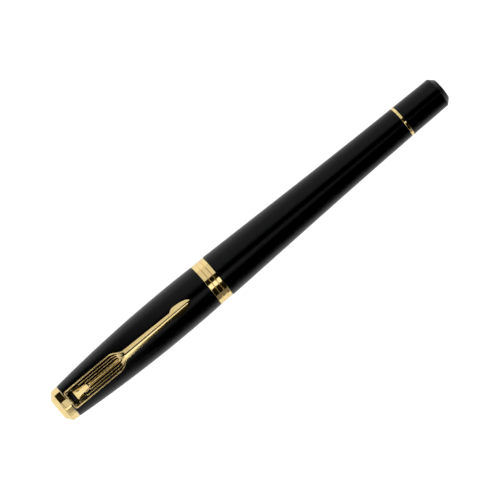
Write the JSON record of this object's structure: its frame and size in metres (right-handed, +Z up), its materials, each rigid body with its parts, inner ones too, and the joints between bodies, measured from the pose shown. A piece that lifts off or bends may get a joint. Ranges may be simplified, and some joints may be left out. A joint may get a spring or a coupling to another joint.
{
  "type": "rollerball pen",
  "caption": "Capped rollerball pen: slim tapered dark barrel, metal trim rings, spring clip, unscrewing grip section with refill, and a pull-off cap.",
  "frame": {"origin": "on the surface that the pen's fullest part touches, below the middle of its closed length", "axes": "+X along the pen towards its tail, +Z upwards through the clip"},
  "size_m": [0.134, 0.0132, 0.015],
  "materials": {
    "black_lacquer": "satin",
    "tail_lacquer": "satin",
    "gold_trim": "polished",
    "brass": "satin",
    "steel": "gloss",
    "grip_plastic": "gloss",
    "liner_plastic": "matte",
    "rubber": "matte",
    "refill_metal": "satin",
    "refill_plastic": "satin",
    "nickel_silver": "gloss",
    "ball_metal": "polished",
    "felt": "matte",
    "inked_felt": "matte"
  },
  "bodies": {
    "barrel": {"barrel_tube": "black_lacquer", "barrel_bush": "brass", "tail_ring": "gold_trim", "tail_piece": "tail_lacquer"},
    "seat": {"spring_seat": "liner_plastic", "refill_spring": "steel"},
    "refill": {"refill_tube": "refill_metal", "refill_nose": "refill_plastic", "writing_tip": "nickel_silver", "ink_feed": "felt", "ink_reservoir": "inked_felt", "refill_plug": "refill_plastic"},
    "ball": {"writing_ball": "ball_metal"},
    "section": {"grip": "grip_plastic", "nose_cone": "gold_trim", "section_ring": "gold_trim", "thread_coupling": "brass", "thread_o_ring": "rubber"},
    "snap": {"snap_ring": "steel"},
    "cap": {"crown": "gold_trim", "crown_screw": "steel", "screw_washer": "steel", "clip_ring": "gold_trim", "cap_shell": "black_lacquer", "inner_cap": "liner_plastic", "cap_band": "gold_trim"},
    "clip": {"clip": "gold_trim"}
  },
  "joints": [
    {"name": "unit_withdraw", "type": "slide", "parent": "barrel", "child": "seat", "axis": [-1, 0, 0], "range_m": [0, 0.085]},
    {"name": "thread_advance", "type": "slide", "parent": "seat", "child": "refill", "axis": [-1, 0, 0], "range_m": [0, 0.00525], "deforming": ["refill_spring"]},
    {"name": "section_unscrew", "type": "hinge", "parent": "refill", "child": "section", "pos_m": [-0.0137, 0, 0.00663], "axis": [-1, 0, 0], "range_deg": [0, 2520.1]},
    {"name": "cap_turn", "type": "hinge", "parent": "section", "child": "snap", "pos_m": [-0.02, 0, 0.00663], "axis": [-1, 0, 0], "continuous": true},
    {"name": "cap_pull", "type": "slide", "parent": "snap", "child": "cap", "axis": [-1, 0, 0], "range_m": [0, 0.06]},
    {"name": "clip_flex", "type": "hinge", "parent": "cap", "child": "clip", "pos_m": [-0.0643, 0, 0.01063], "axis": [0, -1, 0], "range_deg": [0, 3], "stiffness_Nm_per_rad": 1.5, "springref_deg": -0.57},
    {"name": "ball_roll", "type": "hinge", "parent": "refill", "child": "ball", "pos_m": [-0.05265, 0, 0.00663], "axis": [0, 1, 0], "continuous": true}
  ],
  "couplings": [
    {"joint": "section_unscrew", "follows": "thread_advance", "rad_per_m": 8377.6}
  ]
}
